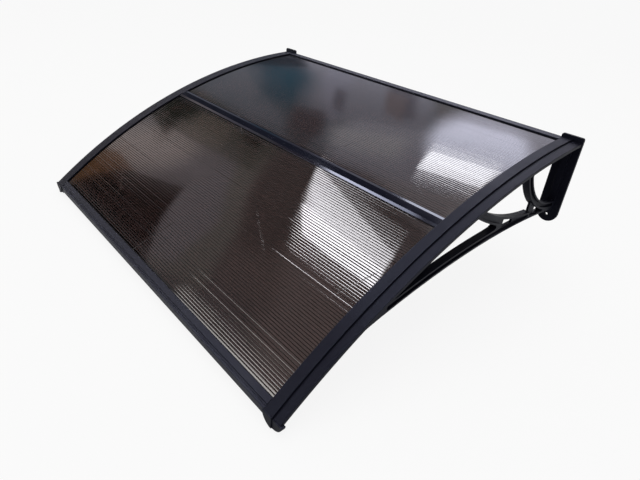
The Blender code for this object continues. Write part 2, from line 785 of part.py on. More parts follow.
def rear_bar_section():
    """The bar along the wall: a slot for the sheet, and a groove for the seal."""
    slot_end = bar_back + REAR_BAR_BACK
    bottom = TOP_HEIGHT - REAR_BAR_HEIGHT
    tongue = SEAL_TONGUE_HEIGHT / 2 + CLEARANCE
    groove_end = bar_back + SEAL_TONGUE_DEPTH + CLEARANCE
    flange_low = slot_floor + FLANGE_THICKNESS
    line = EDGE_RADIUS / 2
    corners = [(*below_arch(bar_back, 0), "round"),
               below_arch(REAR_GROOVE_OUT - line, 0),
               below_arch(REAR_GROOVE_OUT, line),
               below_arch(REAR_GROOVE_OUT + line, 0),
               (*below_arch(REAR_BAR_REACH, 0), "round"),
               below_arch(REAR_BAR_REACH, LIP_THICKNESS),
               below_arch(slot_end, LIP_THICKNESS),
               below_arch(slot_end, slot_floor),
               below_arch(REAR_BAR_REACH, slot_floor),
               below_arch(REAR_BAR_REACH, flange_low)]
    corners += flange_ports(rear_ports(), flange_low)[::-1]
    back_inside = bar_back + FLANGE_THICKNESS
    corners += [below_arch(back_inside, flange_low),
                (-back_inside, bottom), (-bar_back, bottom),
                (-bar_back, -tongue), (-groove_end, -tongue),
                (-groove_end, tongue), (-bar_back, tongue)]
    return rounded_polygon(corners, EDGE_RADIUS)


def mid_bar_section():
    """The joint strip: an H with a crowned cover and two screw ports below."""
    edge = MID_BAR_WIDTH / 2
    flat = MID_BAR_FLAT / 2
    web = MID_BAR_WEB / 2
    foot = MID_BAR_FOOT / 2
    foot_low = slot_floor + FLANGE_THICKNESS
    corners = [beside_mid(edge, LIP_THICKNESS),
               (*beside_mid(edge, LIP_THICKNESS - MID_BAR_EDGE), "round"),
               beside_mid(flat, LIP_THICKNESS - MID_BAR_RISE),
               beside_mid(-flat, LIP_THICKNESS - MID_BAR_RISE),
               (*beside_mid(-edge, LIP_THICKNESS - MID_BAR_EDGE), "round"),
               beside_mid(-edge, LIP_THICKNESS),
               beside_mid(-web, LIP_THICKNESS),
               beside_mid(-web, slot_floor),
               beside_mid(-foot, slot_floor),
               beside_mid(-foot, foot_low)]
    corners += flange_ports(mid_ports()[::-1], foot_low)[::-1]
    corners += [beside_mid(foot, foot_low), beside_mid(foot, slot_floor),
                beside_mid(web, slot_floor), beside_mid(web, LIP_THICKNESS)]
    return rounded_polygon(corners, EDGE_RADIUS)


def front_bar_section():
    """The bar along the front: a bead, a small gutter, a slot and an upright face."""
    face_low = behind_front(0, 0)[1] - FRONT_BAR_HEIGHT
    flange_low = slot_floor + FLANGE_THICKNESS
    gutter_end = FRONT_BEAD + FRONT_GUTTER
    slope = FRONT_GUTTER_DEPTH
    slot_end = FRONT_BAR_WIDTH - FRONT_SLOT_DEPTH
    wall_inside = REACH - FRONT_WALL
    corners = [(*behind_front(0, 0), "round"),
               (-REACH, face_low), (-wall_inside, face_low),
               below_arch(wall_inside, flange_low)]
    corners += flange_ports(front_ports()[::-1], flange_low)[::-1]
    corners += [behind_front(FRONT_FOOT, flange_low),
                behind_front(FRONT_FOOT, slot_floor),
                behind_front(slot_end, slot_floor),
                behind_front(slot_end, LIP_THICKNESS),
                behind_front(FRONT_BAR_WIDTH, LIP_THICKNESS),
                (*behind_front(FRONT_BAR_WIDTH, 0), "round"),
                (*behind_front(gutter_end, 0), "round"),
                behind_front(gutter_end - slope, FRONT_GUTTER_DEPTH),
                behind_front(FRONT_BEAD + slope / 2, FRONT_GUTTER_DEPTH),
                (*behind_front(FRONT_BEAD, 0), "round")]
    return rounded_polygon(corners, EDGE_RADIUS)


def front_bar_core():
    """The hollow between the front bar's face and its slot."""
    slot_end = FRONT_BAR_WIDTH - FRONT_SLOT_DEPTH
    rear = slot_end - FRONT_WALL
    wall_inside = REACH - FRONT_WALL
    high = FRONT_GUTTER_DEPTH + FLANGE_THICKNESS
    return [below_arch(wall_inside, high), behind_front(rear, high),
            behind_front(rear, slot_floor), below_arch(wall_inside, slot_floor)]


def seal_section():
    """The rubber strip on the wall, with the tongue that holds it in the rear bar."""
    side = SEAL_HEIGHT / 2
    face = PLATE_THICKNESS
    tongue = SEAL_TONGUE_HEIGHT / 2
    tip = bar_back + SEAL_TONGUE_DEPTH
    corners = [(0, -side), (0, side), (-face, side, "round"), (-face, tongue),
               (-tip, tongue), (-tip, -tongue), (-face, -tongue), (-face, -side, "round")]
    return rounded_polygon(corners, EDGE_RADIUS)


# Screws
def screw_profile():
    """Half of a pan-head screw, seat at z = 0, from the head's top down to the tip."""
    length = PAD_THICKNESS / 2 + LIP_REACH + SCREW_GRIP
    return [(0, HEAD_HEIGHT), (HEAD_RADIUS * 0.55, HEAD_HEIGHT * 0.94),
            (HEAD_RADIUS * 0.9, HEAD_HEIGHT * 0.6), (HEAD_RADIUS, 0),
            (SCREW_RADIUS, 0), (SCREW_RADIUS, SCREW_RADIUS * 1.5 - length),
            (0, -length)]


def screw(name, profile, side, place, material, collection):
    """A screw with its head on the outside of a bracket's web, pointing inwards."""
    item = bpy.data.objects.new(name, profile)
    modifier = item.modifiers.new("turn", "SCREW")
    modifier.steps = SCREW_STEPS
    modifier.render_steps = SCREW_STEPS
    modifier.use_merge_vertices = True
    modifier.merge_threshold = 0.00005
    modifier.use_smooth_shade = True
    seat = half_spacing + PAD_THICKNESS / 2 + CLEARANCE
    item.location = (side * seat, place[0], place[1])
    item.rotation_euler = (0, side * math.pi / 2, 0)
    collection.objects.link(item)
    if not profile.materials:
        profile.materials.append(material)


def screw_mesh():
    mesh = bpy.data.meshes.new("screw_profile")
    points = [(x, 0, z) for x, z in screw_profile()]
    edges = [(index, index + 1) for index in range(len(points) - 1)]
    mesh.from_pydata(points, edges, [])
    return mesh


def build():
    remove_all_objects()
    parts = new_collection("door_canopy")
    tools = new_collection("cutters")
    plastic = new_material("black_moulded_plastic", (0.012, 0.012, 0.016), 0.45)
    aluminium = new_material("black_coated_aluminium", (0.025, 0.025, 0.033), 0.38)
    smoke = new_material("smoked_polycarbonate", (0.07, 0.045, 0.035), 0.12,
                         transmission=0.6)
    rubber = new_material("black_rubber", (0.01, 0.01, 0.01), 0.8)
    zinc = new_material("black_zinc", (0.05, 0.05, 0.055), 0.35, metallic=1.0)

    body = bracket_body(tools)
    bracket("bracket_right", body, 1, plastic, parts)
    bracket("bracket_left", body, -1, plastic, parts)

    web_gap = (MID_BAR_WEB / 2 + CLEARANCE) / ARC_RADIUS
    rear_end = angle_at(bar_back + REAR_BAR_BACK + CLEARANCE, sheet_bottom)
    slot_end = FRONT_BAR_WIDTH - FRONT_SLOT_DEPTH + CLEARANCE
    front_end = front_angle + slot_end / ARC_RADIUS
    sheet("sheet_rear", rear_end, mid_angle + web_gap, smoke, parts)
    sheet("sheet_front", mid_angle - web_gap, front_end, smoke, parts)

    bar("rear_bar", [rear_bar_section(), *port_holes(rear_ports())], bar_end,
        aluminium, parts)
    bar("mid_bar", [mid_bar_section(), *port_holes(mid_ports())], bar_end,
        aluminium, parts)
    bar("front_bar", [front_bar_section(), front_bar_core(),
                      *port_holes(front_ports())], bar_end, aluminium, parts)
    seal_end = half_spacing - PLATE_INWARD - PLATE_WIDTH / 2 - CLEARANCE
    bar("wall_seal", [seal_section()], seal_end, rubber, parts)

    profile = screw_mesh()
    for bar_name, ports in (("rear", rear_ports()), ("mid", mid_ports()),
                            ("front", front_ports())):
        for side_name, side in (("left", -1), ("right", 1)):
            for number, place in enumerate(ports, start=1):
                name = f"screw_{bar_name}_{side_name}_{number}"
                screw(name, profile, side, place, zinc, parts)


build()
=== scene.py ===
"""Finish, light and camera for the smoked door canopy, built round its fixed CAD frame."""
import math
import random

import bmesh
import bpy
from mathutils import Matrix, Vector


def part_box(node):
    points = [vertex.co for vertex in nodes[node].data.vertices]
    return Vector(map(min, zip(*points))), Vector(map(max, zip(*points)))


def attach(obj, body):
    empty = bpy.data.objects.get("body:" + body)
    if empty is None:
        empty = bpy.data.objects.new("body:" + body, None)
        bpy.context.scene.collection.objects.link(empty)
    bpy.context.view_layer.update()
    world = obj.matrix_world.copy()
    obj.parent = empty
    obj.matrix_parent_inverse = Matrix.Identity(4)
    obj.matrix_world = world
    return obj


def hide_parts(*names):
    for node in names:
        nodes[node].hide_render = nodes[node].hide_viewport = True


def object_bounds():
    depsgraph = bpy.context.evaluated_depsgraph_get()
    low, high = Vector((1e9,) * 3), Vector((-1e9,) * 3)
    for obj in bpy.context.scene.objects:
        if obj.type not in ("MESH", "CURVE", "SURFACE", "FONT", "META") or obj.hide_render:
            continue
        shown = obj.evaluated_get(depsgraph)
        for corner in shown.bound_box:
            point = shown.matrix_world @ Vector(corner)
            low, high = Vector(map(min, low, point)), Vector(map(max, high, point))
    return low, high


# Arch and sheets, in metres, as in the part
ARC_RADIUS = 1.431            # top face of the arched rails
CREST_BEHIND_WALL = 0.0705    # how far the arch's highest point lies behind the wall face
TOP_HEIGHT = 0.010            # rear bar's top rear edge
PLATE_THICKNESS = 0.006
SHEET_INSET = 0.0033          # sheets' top face under the rails' top face
SHEET_THICKNESS = 0.005
FLUTE_PITCH = 0.0055

# Flutes, in metres. Skins and ribs are a little thinner than in the part.
SKIN_THICKNESS = 0.0006
RIB_THICKNESS = 0.0005
SKIN_FLAT = 0.30              # share of a flute that is flat, in its middle
SKIN_BOW = {"sheet_front": 0.000105, "sheet_rear": 0.000055}    # how far its sides curl down
UNEVEN = 0.25                 # share by which the curl varies from flute to flute
LONE_SHARE = 0.08             # share of flutes that curl more than their neighbours
LONE_BOW = 1.9                # how many times more
SKIN_TILT = 0.0015            # usual slope of a flute's middle
SINK_SHARE = {"sheet_front": 0.25, "sheet_rear": 0.20}    # share sunk and dull, at its ribs
SINK_DEPTH = 0.00002
SKIN_STEPS = 24               # straight steps across a flute
TOP_SKIN, UNDERSIDE, INSIDE, DULL_LINE = range(4)    # materials of a sheet, in their order

# Screws, in metres, inside the part's plain ones
SCREW_SIDES = 32
HEAD_RADIUS = 0.0038
HEAD_HEIGHT = 0.0026
HEAD_DOME = ((0.35, 1.0), (0.60, 0.95), (0.80, 0.84), (0.93, 0.70), (1.0, 0.56))
SHAFT_ROOT = 0.0015
SHAFT_CREST = 0.0020
TIP_RADIUS = 0.0003
TIP_LENGTH = 0.0015
THREAD_START = 0.0020         # from the tip
THREAD_PITCH = 0.0014
THREAD_RISE = 0.4             # share of the pitch from root to crest
RECESS_ARM = 0.0019           # cross recess: half its length
RECESS_WIDE = 0.00045         # half the width of an arm
RECESS_DEPTH = 0.0014
RECESS_TAPER = 0.6            # size of its floor against its mouth

# Shading: a crease sharper than its angle, in degrees, stays an edge
BUILT_CREASE = 35
BRACKET_CREASE = 14
BAR_CREASE = 12
SEAL_CREASE = 30
WELD_DISTANCE = 0.000005

# Finishes. A surface changes in soft clouds between the two values of a pair.
CLOUDY = (0.3, 0.7)           # levels of a noise between which most of them change
PLASTIC = ((0.0038, 0.0040, 0.0078), (0.0060, 0.0062, 0.0110))
PLASTIC_ROUGH = (0.42, 0.52)
PLASTIC_SHEEN = (0.62, 0.70, 1.0, 1)    # tint of what it mirrors
PLASTIC_IOR = 1.5
COAT = ((0.0060, 0.0062, 0.0125), (0.0090, 0.0092, 0.0175))
COAT_SHEEN = (0.66, 0.74, 1.0, 1)
SATIN_ROUGH = (0.36, 0.44)    # front and rear bars
GLOSS_ROUGH = (0.06, 0.09)    # joint strip
RUBBER = ((0.010, 0.010, 0.010), (0.028, 0.027, 0.026))
RUBBER_ROUGH = (0.75, 0.92)
ZINC = ((0.045, 0.045, 0.050), (0.16, 0.16, 0.165))
ZINC_ROUGH = (0.28, 0.42)

# Finishes of the sheets
SMOKE = ((0.0024, 0.0009, 0.0008), (0.0032, 0.0012, 0.0011))
UNDER = ((0.140, 0.115, 0.105), (0.170, 0.140, 0.130))
CLEAR = ((0.86, 0.85, 0.84), (0.92, 0.91, 0.90))
SHEET_ROUGH = (0.006, 0.026)
SHEET_IOR = 1.585
DULL = ((0.0056, 0.0034, 0.0032), (0.0090, 0.0058, 0.0054))
DULL_ROUGH = (0.42, 0.55)
HAZE_STRETCH = (1.0, 14.0, 14.0)    # clouds drawn out along the flutes
HAZE_SCALE = 6.0
SCRATCHES = ((0.42, 0.19, 0.52), (-1.1, 0.31, 0.55))    # turn, spacing, noise they show from
SCRATCH_WIDTH = (0.9990, 0.9998)    # top of a wave that makes one
SCRATCH_ROUGH = 0.2
SCRATCH_BREAKS = 7.0          # scale of the noise that breaks them up
SCRATCH_FADE = 0.05           # of that noise, at their ends
BAND_FACTOR = 3.14            # a wave of scale 1 has about that many bands a metre

# Camera, solved from the photo: metres, degrees, millimetres
CAMERA_PLACE = (0.8977, -1.12533, 0.33322)
CAMERA_TURN = (58.9685, -4.31, 48.8204)
CAMERA_LENS = 27.607
CAMERA_SENSOR = 36
CAMERA_REACH = (0.01, 200)

# Light and floor
AMBIENT = 0.75
AMBIENT_GREY = (0.8, 0.8, 0.8, 1)
WHITE = (1, 1, 1, 1)
KEY_PLACE = (0.0, -0.4, 3.0)
KEY_SIZE = 2.4
KEY_RADIANCE = 1.5
FLOOR_SIZE = 40.0
FLOOR_GAP = 0.0005            # under the canopy's lowest point
FLOOR_WHITE = 0.88            # share of plain white in what the camera sees of it
FLOOR_GREY = (0.82, 0.82, 0.82, 1)

# Room that the glossy surfaces mirror. Later patches lie over earlier ones.
ROOM_GREYS = [                # by the sine of the elevation
    (0.00, (0.90, 0.90, 0.90)),
    (0.17, (0.60, 0.60, 0.60)),
    (0.30, (0.40, 0.39, 0.42)),
    (0.62, (0.42, 0.37, 0.38)),
    (0.72, (0.50, 0.40, 0.40)),
    (0.84, (0.52, 0.41, 0.40)),
    (1.00, (0.40, 0.38, 0.38)),
]
ROOM_PATCHES = [              # corners as azimuth and elevation, blur in degrees, colour
    # Warm and grey walls, in the front sheet
    ([(145, 50), (118, 56), (104, 56), (96, 47), (108, 43), (145, 33)], 2.0, (0.86, 0.68, 0.66)),
    ([(124, 43), (97, 49.4), (72, 44.9), (70, 39.3), (120, 36)], 1.6, (0.60, 0.47, 0.45)),
    ([(108, 46.2), (97, 49.2), (71, 44.7), (70, 39.3), (110, 40.5)], 1.2, (0.32, 0.25, 0.24)),
    ([(122, 33.5), (106, 41), (80, 40.6), (80, 30), (120, 26)], 0.7, (0.70, 0.65, 0.60)),
    ([(118.5, 30), (106, 38.6), (87, 39), (87, 28), (118, 26)], 0.7, (0.84, 0.76, 0.82)),
    ([(103.5, 27.5), (99.5, 32), (90, 35.2), (88.5, 31), (100, 22)], 1.2, (1.50, 1.28, 1.24)),
    # Dim corner with three dark spots, at the front sheet's upper left
    ([(87.5, 41), (75, 41), (73, 33), (78, 28), (89.5, 29)], 1.0, (0.30, 0.29, 0.24)),
    ([(88, 36.4), (78, 35.4), (77.5, 32.4), (88, 32)], 0.8, (0.52, 0.45, 0.37)),
    ([(92, 30.8), (80, 31.8), (77.5, 29.5), (88, 27.8)], 0.6, (0.04, 0.05, 0.03)),
    ([(81, 39.3), (77, 38.7), (76.5, 36.4), (80.5, 37)], 0.7, (0.02, 0.03, 0.01)),
    ([(77, 38.6), (73.5, 37.7), (73.5, 35.4), (77, 36)], 0.7, (0.02, 0.03, 0.01)),
    # Brown and black shapes, at the front sheet's left end
    ([(110.5, 19), (103.6, 28), (101, 26), (105, 17)], 0.5, (0.50, 0.24, 0.11)),
    ([(120, 25.4), (101.8, 34), (103.6, 27), (111, 17.5)], 0.35, (0.0, 0.0, 0.0)),
    # Wall beside the front sheet's window
    ([(82, 62), (64, 58), (66, 47), (72, 45)], 2.0, (0.36, 0.29, 0.28)),
    ([(90, 64), (78, 62), (69, 47.5), (71.5, 44)], 1.5, (0.8, 0.72, 0.76)),
    # Walls and dim shapes, in the rear sheet
    ([(74, 40), (66, 44), (40, 48), (36, 12), (60, 12), (76, 26)], 1.0, (0.48, 0.50, 0.59)),
    ([(66, 60), (40, 60), (36, 50), (44, 48), (62, 46)], 2.0, (1.12, 1.02, 1.08)),
    ([(68, 43.5), (62, 48), (44, 51), (38, 42), (42, 33), (53, 34.3)], 1.2, (1.05, 1.02, 1.20)),
    ([(71, 41.3), (66, 40), (57, 34.5), (60, 33), (70, 37.5)], 0.9, (0.27, 0.26, 0.30)),
    ([(60, 34.5), (42, 34.5), (36, 22), (36, 12), (54, 12)], 1.2, (0.66, 0.65, 0.78)),
    ([(58.5, 35.5), (55.5, 35), (45, 18), (48.5, 17)], 0.7, (0.72, 0.71, 0.88)),
    ([(44.5, 31), (41.5, 31), (37.5, 18), (41, 17)], 0.8, (0.35, 0.33, 0.41)),
    ([(68, 37.5), (64.5, 37), (60, 29), (64, 28)], 1.0, (0.27, 0.31, 0.37)),
    # Blue spot, at the rear sheet's left end
    ([(66, 32), (60.5, 32.5), (53, 25), (51.5, 20), (59, 20)], 2.0, (0.15, 0.26, 0.36)),
    ([(62, 28.5), (58.5, 28.5), (54, 22.5), (57, 22)], 1.5, (0.10, 0.24, 0.35)),
    # Dark bands, in the joint strip
    ([(74.6, 42.5), (70.2, 41.5), (78.5, 28), (82, 29)], 0.5, (0.03, 0.04, 0.05)),
    ([(60, 60), (54.5, 60), (70.3, 41), (74.3, 42)], 0.5, (0.03, 0.04, 0.05)),
    # Dark corner and smudges, in the rear sheet
    ([(61.5, 23.5), (57, 21.8), (51.8, 20.5), (51, 14), (60, 14)], 0.8, (0.07, 0.08, 0.11)),
    ([(64, 41), (53, 44.5), (46, 38), (59, 37.2)], 1.4, (1.40, 1.36, 1.46)),
    ([(68.4, 37.4), (64.3, 39.6), (57.2, 33.6), (62, 32.4)], 0.9, (0.22, 0.18, 0.21)),
    ([(55, 32.2), (54.1, 33.4), (49.4, 26.4), (50.3, 25)], 0.5, (0.36, 0.35, 0.44)),
    ([(45.9, 30.4), (44.4, 33), (39.9, 22.8), (42.2, 21.6)], 0.6, (0.50, 0.42, 0.46)),
    # Glow round the rear sheet's window
    ([(29, 38), (18, 38), (18, 20), (29, 20)], 1.0, (1.30, 1.27, 1.50)),
    ([(38, 30), (28, 30), (25.5, 21), (32, 21)], 1.5, (1.70, 1.67, 2.00)),
    ([(47.5, 46), (30, 44), (26, 33), (26.5, 27), (34.5, 27), (41, 34)], 1.6, (4.0, 4.05, 4.9)),
]
ROOM_WINDOWS = [              # as the patches, and brighter than white
    # The front sheet's window and its brighter part
    ([(103.9, 58.9), (84.1, 59.9), (72.1, 44.4), (97, 49.2)], 0.3, (10.5, 10.3, 10.8)),
    ([(103.9, 58.9), (93, 59.8), (87, 47.6), (97, 49.2)], 0.3, (21.0, 20.5, 21.5)),
    # The rear sheet's window
    ([(50.3, 45.6), (39.7, 48.1), (32.9, 41.9), (43.5, 40.2)], 0.2, (11.5, 11.5, 12.3)),
    # A low one, which shows as stripes along the front bar
    ([(141.5, 38.5), (124.5, 28), (129, 19), (152, 30)], 0.8, (7.0, 6.7, 6.5)),
]

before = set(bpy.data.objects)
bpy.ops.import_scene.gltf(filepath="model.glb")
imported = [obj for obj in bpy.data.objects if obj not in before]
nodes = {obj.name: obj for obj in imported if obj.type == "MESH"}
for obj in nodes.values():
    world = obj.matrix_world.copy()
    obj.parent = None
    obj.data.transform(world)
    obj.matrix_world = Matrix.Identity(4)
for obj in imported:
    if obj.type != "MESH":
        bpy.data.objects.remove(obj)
cad_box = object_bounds()

arch_y = CREST_BEHIND_WALL
arch_z = TOP_HEIGHT - math.sqrt(ARC_RADIUS ** 2 - (arch_y + PLATE_THICKNESS) ** 2)
sheet_radius = ARC_RADIUS - SHEET_INSET
bottom_radius = sheet_radius - SHEET_THICKNESS


# Node helpers
def new_material(name):
    """An empty node material with its output, and its tree."""
    material = bpy.data.materials.new(name)
    material.use_nodes = True
    tree = material.node_tree
    tree.nodes.clear()
    return material, tree, tree.nodes.new("ShaderNodeOutputMaterial")


def add_node(tree, kind, **settings):
    """A node with its settings; a key that names a socket sets that socket."""
    node = tree.nodes.new("ShaderNode" + kind)
    for key, value in settings.items():
        if hasattr(node, key):
            setattr(node, key, value)
        else:
            node.inputs[key.replace("_", " ")].default_value = value
    return node


def link(tree, source, target):
    tree.links.new(source, target)


def position(tree):
    """The point in the object's own frame, in metres."""
    return add_node(tree, "TexCoord").outputs["Object"]


def mapped(tree, vector, **settings):
    """The point turned or scaled."""
    mapping = add_node(tree, "Mapping", **settings)
    link(tree, vector, mapping.inputs["Vector"])
    return mapping.outputs["Vector"]


def noise(tree, vector, scale, detail=3.0):
    node = add_node(tree, "TexNoise", Scale=scale, Detail=detail)
    link(tree, vector, node.inputs["Vector"])
    return node.outputs["Fac"]


def combined(tree, operation, first, second):
    """One value from two, such as their MAXIMUM."""
    node = add_node(tree, "Math", operation=operation)
    link(tree, first, node.inputs[0])
    link(tree, second, node.inputs[1])
    return node.outputs[0]


def ranged(tree, value, levels, results, fading="LINEAR"):
    """The first result up to the first level, the second from the second level on."""
    node = add_node(tree, "MapRange", From_Min=levels[0], From_Max=levels[1],
                    To_Min=results[0], To_Max=results[1], interpolation_type=fading)
    link(tree, value, node.inputs["Value"])
    return node.outputs["Result"]


def ramp(tree, value, stops):
    """A colour from a value, by (place, colour) stops."""
    node = add_node(tree, "ValToRGB")
    elements = node.color_ramp.elements
    while len(elements) < len(stops):
        elements.new(0.5)
    for element, (place, colour) in zip(elements, stops):
        element.position = place
        element.color = (*colour, 1)
    link(tree, value, node.inputs["Fac"])
    return node.outputs["Color"]


def two_tone(tree, value, levels, colours):
    """The first colour up to the first level, the second from the second level on."""
    return ramp(tree, value, list(zip(levels, colours)))


def bump(tree, height, strength, distance):
    node = add_node(tree, "Bump", Strength=strength, Distance=distance)
    link(tree, height, node.inputs["Height"])
    return node.outputs["Normal"]


def mixed(tree, share, first, second):
    """The second shader by share over the first."""
    node = add_node(tree, "MixShader")
    link(tree, share, node.inputs["Fac"])
    link(tree, first, node.inputs[1])
    link(tree, second, node.inputs[2])
    return node.outputs[0]


# Materials
def moulded_plastic():
    """Matte black injection moulding with a fine spark-eroded grain and a blue tint."""
    material, tree, output = new_material("black_moulded_plastic")
    shader = add_node(tree, "BsdfPrincipled", IOR=PLASTIC_IOR, Specular_IOR_Level=0.19,
                      Specular_Tint=PLASTIC_SHEEN)
    place = position(tree)
    cloud = noise(tree, place, scale=9.0, detail=4.0)
    grain = noise(tree, place, scale=2600.0, detail=2.0)
    link(tree, two_tone(tree, cloud, CLOUDY, PLASTIC), shader.inputs["Base Color"])
    link(tree, ranged(tree, cloud, CLOUDY, PLASTIC_ROUGH), shader.inputs["Roughness"])
    link(tree, bump(tree, grain, strength=0.25, distance=0.00008), shader.inputs["Normal"])
    link(tree, shader.outputs[0], output.inputs["Surface"])
    return material


def powder_coat(name, roughness):
    """Black coat on extruded aluminium, with its fine orange peel."""
    material, tree, output = new_material(name)
    shader = add_node(tree, "BsdfPrincipled", IOR=PLASTIC_IOR, Specular_IOR_Level=0.26,
                      Specular_Tint=COAT_SHEEN)
    place = position(tree)
    cloud = noise(tree, place, scale=14.0, detail=3.0)
    peel = noise(tree, place, scale=700.0, detail=2.0)
    link(tree, two_tone(tree, cloud, CLOUDY, COAT), shader.inputs["Base Color"])
    link(tree, ranged(tree, cloud, CLOUDY, roughness), shader.inputs["Roughness"])
    link(tree, bump(tree, peel, strength=0.18, distance=0.0001), shader.inputs["Normal"])
    link(tree, shader.outputs[0], output.inputs["Surface"])
    return material


def scratches(tree, place):
    """Roughness of a few thin straight scratches in two directions, 0 between them."""
    sets = []
    for turn, spacing, low in SCRATCHES:
        wave = add_node(tree, "TexWave", Scale=1 / spacing / BAND_FACTOR, Distortion=0.5,
                        Detail=1.0, Detail_Scale=0.4)
        link(tree, mapped(tree, place, Rotation=(0, 0, turn)), wave.inputs["Vector"])
        line = ranged(tree, wave.outputs["Fac"], SCRATCH_WIDTH, (0, SCRATCH_ROUGH))
        breaks = noise(tree, place, scale=SCRATCH_BREAKS + turn)
        short = ranged(tree, breaks, (low, low + SCRATCH_FADE), (0, 1))
        sets.append(combined(tree, "MULTIPLY", line, short))
    return combined(tree, "MAXIMUM", *sets)


def sheet_haze(tree, place):
    """A cloudy value from 0 to 1, drawn out along the flutes."""
    return noise(tree, mapped(tree, place, Scale=HAZE_STRETCH), scale=HAZE_SCALE, detail=5.0)


def smoked_polycarbonate(name, tint):
    """Glossy see-through sheet that tints what is seen through it, a little unevenly."""
    material, tree, output = new_material(name)
    shader = add_node(tree, "BsdfPrincipled", IOR=SHEET_IOR, Transmission_Weight=1.0)
    place = position(tree)
    haze = sheet_haze(tree, place)
    link(tree, two_tone(tree, haze, CLOUDY, tint), shader.inputs["Base Color"])
    worn = ranged(tree, haze, (0.45, 0.75), SHEET_ROUGH)
    worn = combined(tree, "MAXIMUM", worn, scratches(tree, place))
    link(tree, worn, shader.inputs["Roughness"])
    shade = (*(math.sqrt(value) for value in tint[1]), 1)
    clear = add_node(tree, "BsdfTransparent", Color=shade)
    path = add_node(tree, "LightPath")
    mix = mixed(tree, path.outputs["Is Shadow Ray"], shader.outputs[0], clear.outputs[0])
    link(tree, mix, output.inputs["Surface"])
    return material


def dull_plastic():
    """Dull smoked plastic of the narrow sink lines over the ribs."""
    material, tree, output = new_material("dull_rib_lines")
    shader = add_node(tree, "BsdfPrincipled", IOR=SHEET_IOR, Specular_IOR_Level=0.06)
    haze = sheet_haze(tree, position(tree))
    link(tree, two_tone(tree, haze, CLOUDY, DULL), shader.inputs["Base Color"])
    link(tree, ranged(tree, haze, (0.3, 0.75), DULL_ROUGH), shader.inputs["Roughness"])
    link(tree, shader.outputs[0], output.inputs["Surface"])
    return material


def soft_rubber():
    """Dull black rubber with dusty patches."""
    material, tree, output = new_material("black_rubber")
    shader = add_node(tree, "BsdfPrincipled", IOR=PLASTIC_IOR)
    place = position(tree)
    dust = noise(tree, place, scale=60.0, detail=5.0)
    grain = noise(tree, place, scale=1500.0)
    link(tree, two_tone(tree, dust, (0.4, 0.8), RUBBER), shader.inputs["Base Color"])
    link(tree, ranged(tree, dust, (0.3, 0.8), RUBBER_ROUGH), shader.inputs["Roughness"])
    link(tree, bump(tree, grain, strength=0.2, distance=0.0001), shader.inputs["Normal"])
    link(tree, shader.outputs[0], output.inputs["Surface"])
    return material


def black_zinc():
    """Black-plated steel with lighter worn metal showing in small spots."""
    material, tree, output = new_material("black_zinc")
    shader = add_node(tree, "BsdfPrincipled", Metallic=1.0)
    wear = noise(tree, position(tree), scale=900.0, detail=4.0)
    link(tree, two_tone(tree, wear, (0.55, 0.75), ZINC), shader.inputs["Base Color"])
    link(tree, ranged(tree, wear, CLOUDY, ZINC_ROUGH), shader.inputs["Roughness"])
    link(tree, shader.outputs[0], output.inputs["Surface"])
    return material


# Pieces
def on_arch(angle, radius):
    """(y, z) on the arch; angle 0 is the crest, less is further out from the wall."""
    return (arch_y + radius * math.sin(angle), arch_z + radius * math.cos(angle))


def new_piece(name, mesh, material):
    item = bpy.data.objects.new(name, mesh)
    bpy.context.scene.collection.objects.link(item)
    mesh.materials.append(material)
    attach(item, "root")
    return item


def fill_between(work, rings):
    """Flat faces between an outline of points and the holes in it."""
    edges = []
    for ring in rings:
        edges += [work.edges.get(pair) for pair in zip(ring, ring[1:] + ring[:1])]
    bmesh.ops.triangle_fill(work, use_beauty=True, use_dissolve=False, edges=edges)


def join_rings(work, rings):
    """Faces from each ring of points to the next."""
    for first, second in zip(rings, rings[1:]):
        for index in range(len(first)):
            after = (index + 1) % len(first)
            work.faces.new((first[index], first[after], second[after], second[index]))


def built_mesh(work, name):
    """The finished mesh, facing outwards, with its creases marked."""
    bmesh.ops.recalc_face_normals(work, faces=work.faces)
    mesh = bpy.data.meshes.new(name)
    work.to_mesh(mesh)
    work.free()
    mesh.set_sharp_from_angle(angle=math.radians(BUILT_CREASE))
    return mesh


def sheet_angles(node):
    """Angles of the sheet's front and rear ends, from its box in the frame."""
    low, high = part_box(node)
    front = math.asin((low.y - arch_y) / sheet_radius)
    rear = math.asin((high.y - arch_y) / bottom_radius)
    return front, rear


def skin_height(share, bow, line, tilt):
    """Height of a flute's skin against its middle, share of the way across it."""
    aside = 2 * share - 1
    curl = max(abs(aside) - SKIN_FLAT, 0) / (1 - SKIN_FLAT)
    sink = max(abs(aside) - 1 + line, 0) / line
    lean = tilt * FLUTE_PITCH / 2 * aside * (1 - abs(aside))
    return lean - bow * curl ** 2 - SINK_DEPTH * sink ** 2


def flute_skins(node, first, turn, count):
    """Points across all flutes, top and bottom, and the numbers of the dull steps."""
    chance = random.Random(node)
    line = SINK_SHARE[node]
    top = []
    bottom = []
    dull = []
    for index in range(count):
        bow = SKIN_BOW[node] * (1 + UNEVEN * chance.uniform(-1, 1))
        if chance.random() < LONE_SHARE:
            bow *= LONE_BOW
        tilt = SKIN_TILT * chance.gauss(0, 1)
        for step in range(SKIN_STEPS):
            share = step / SKIN_STEPS
            middle = (step + 0.5) / SKIN_STEPS
            if abs(2 * middle - 1) > 1 - line:
                dull.append(len(top))
            angle = first - (index + share) * turn
            height = skin_height(share, bow, line, tilt)
            top.append(on_arch(angle, sheet_radius + height))
            bottom.append(on_arch(angle, bottom_radius - height))
    return top, bottom, dull


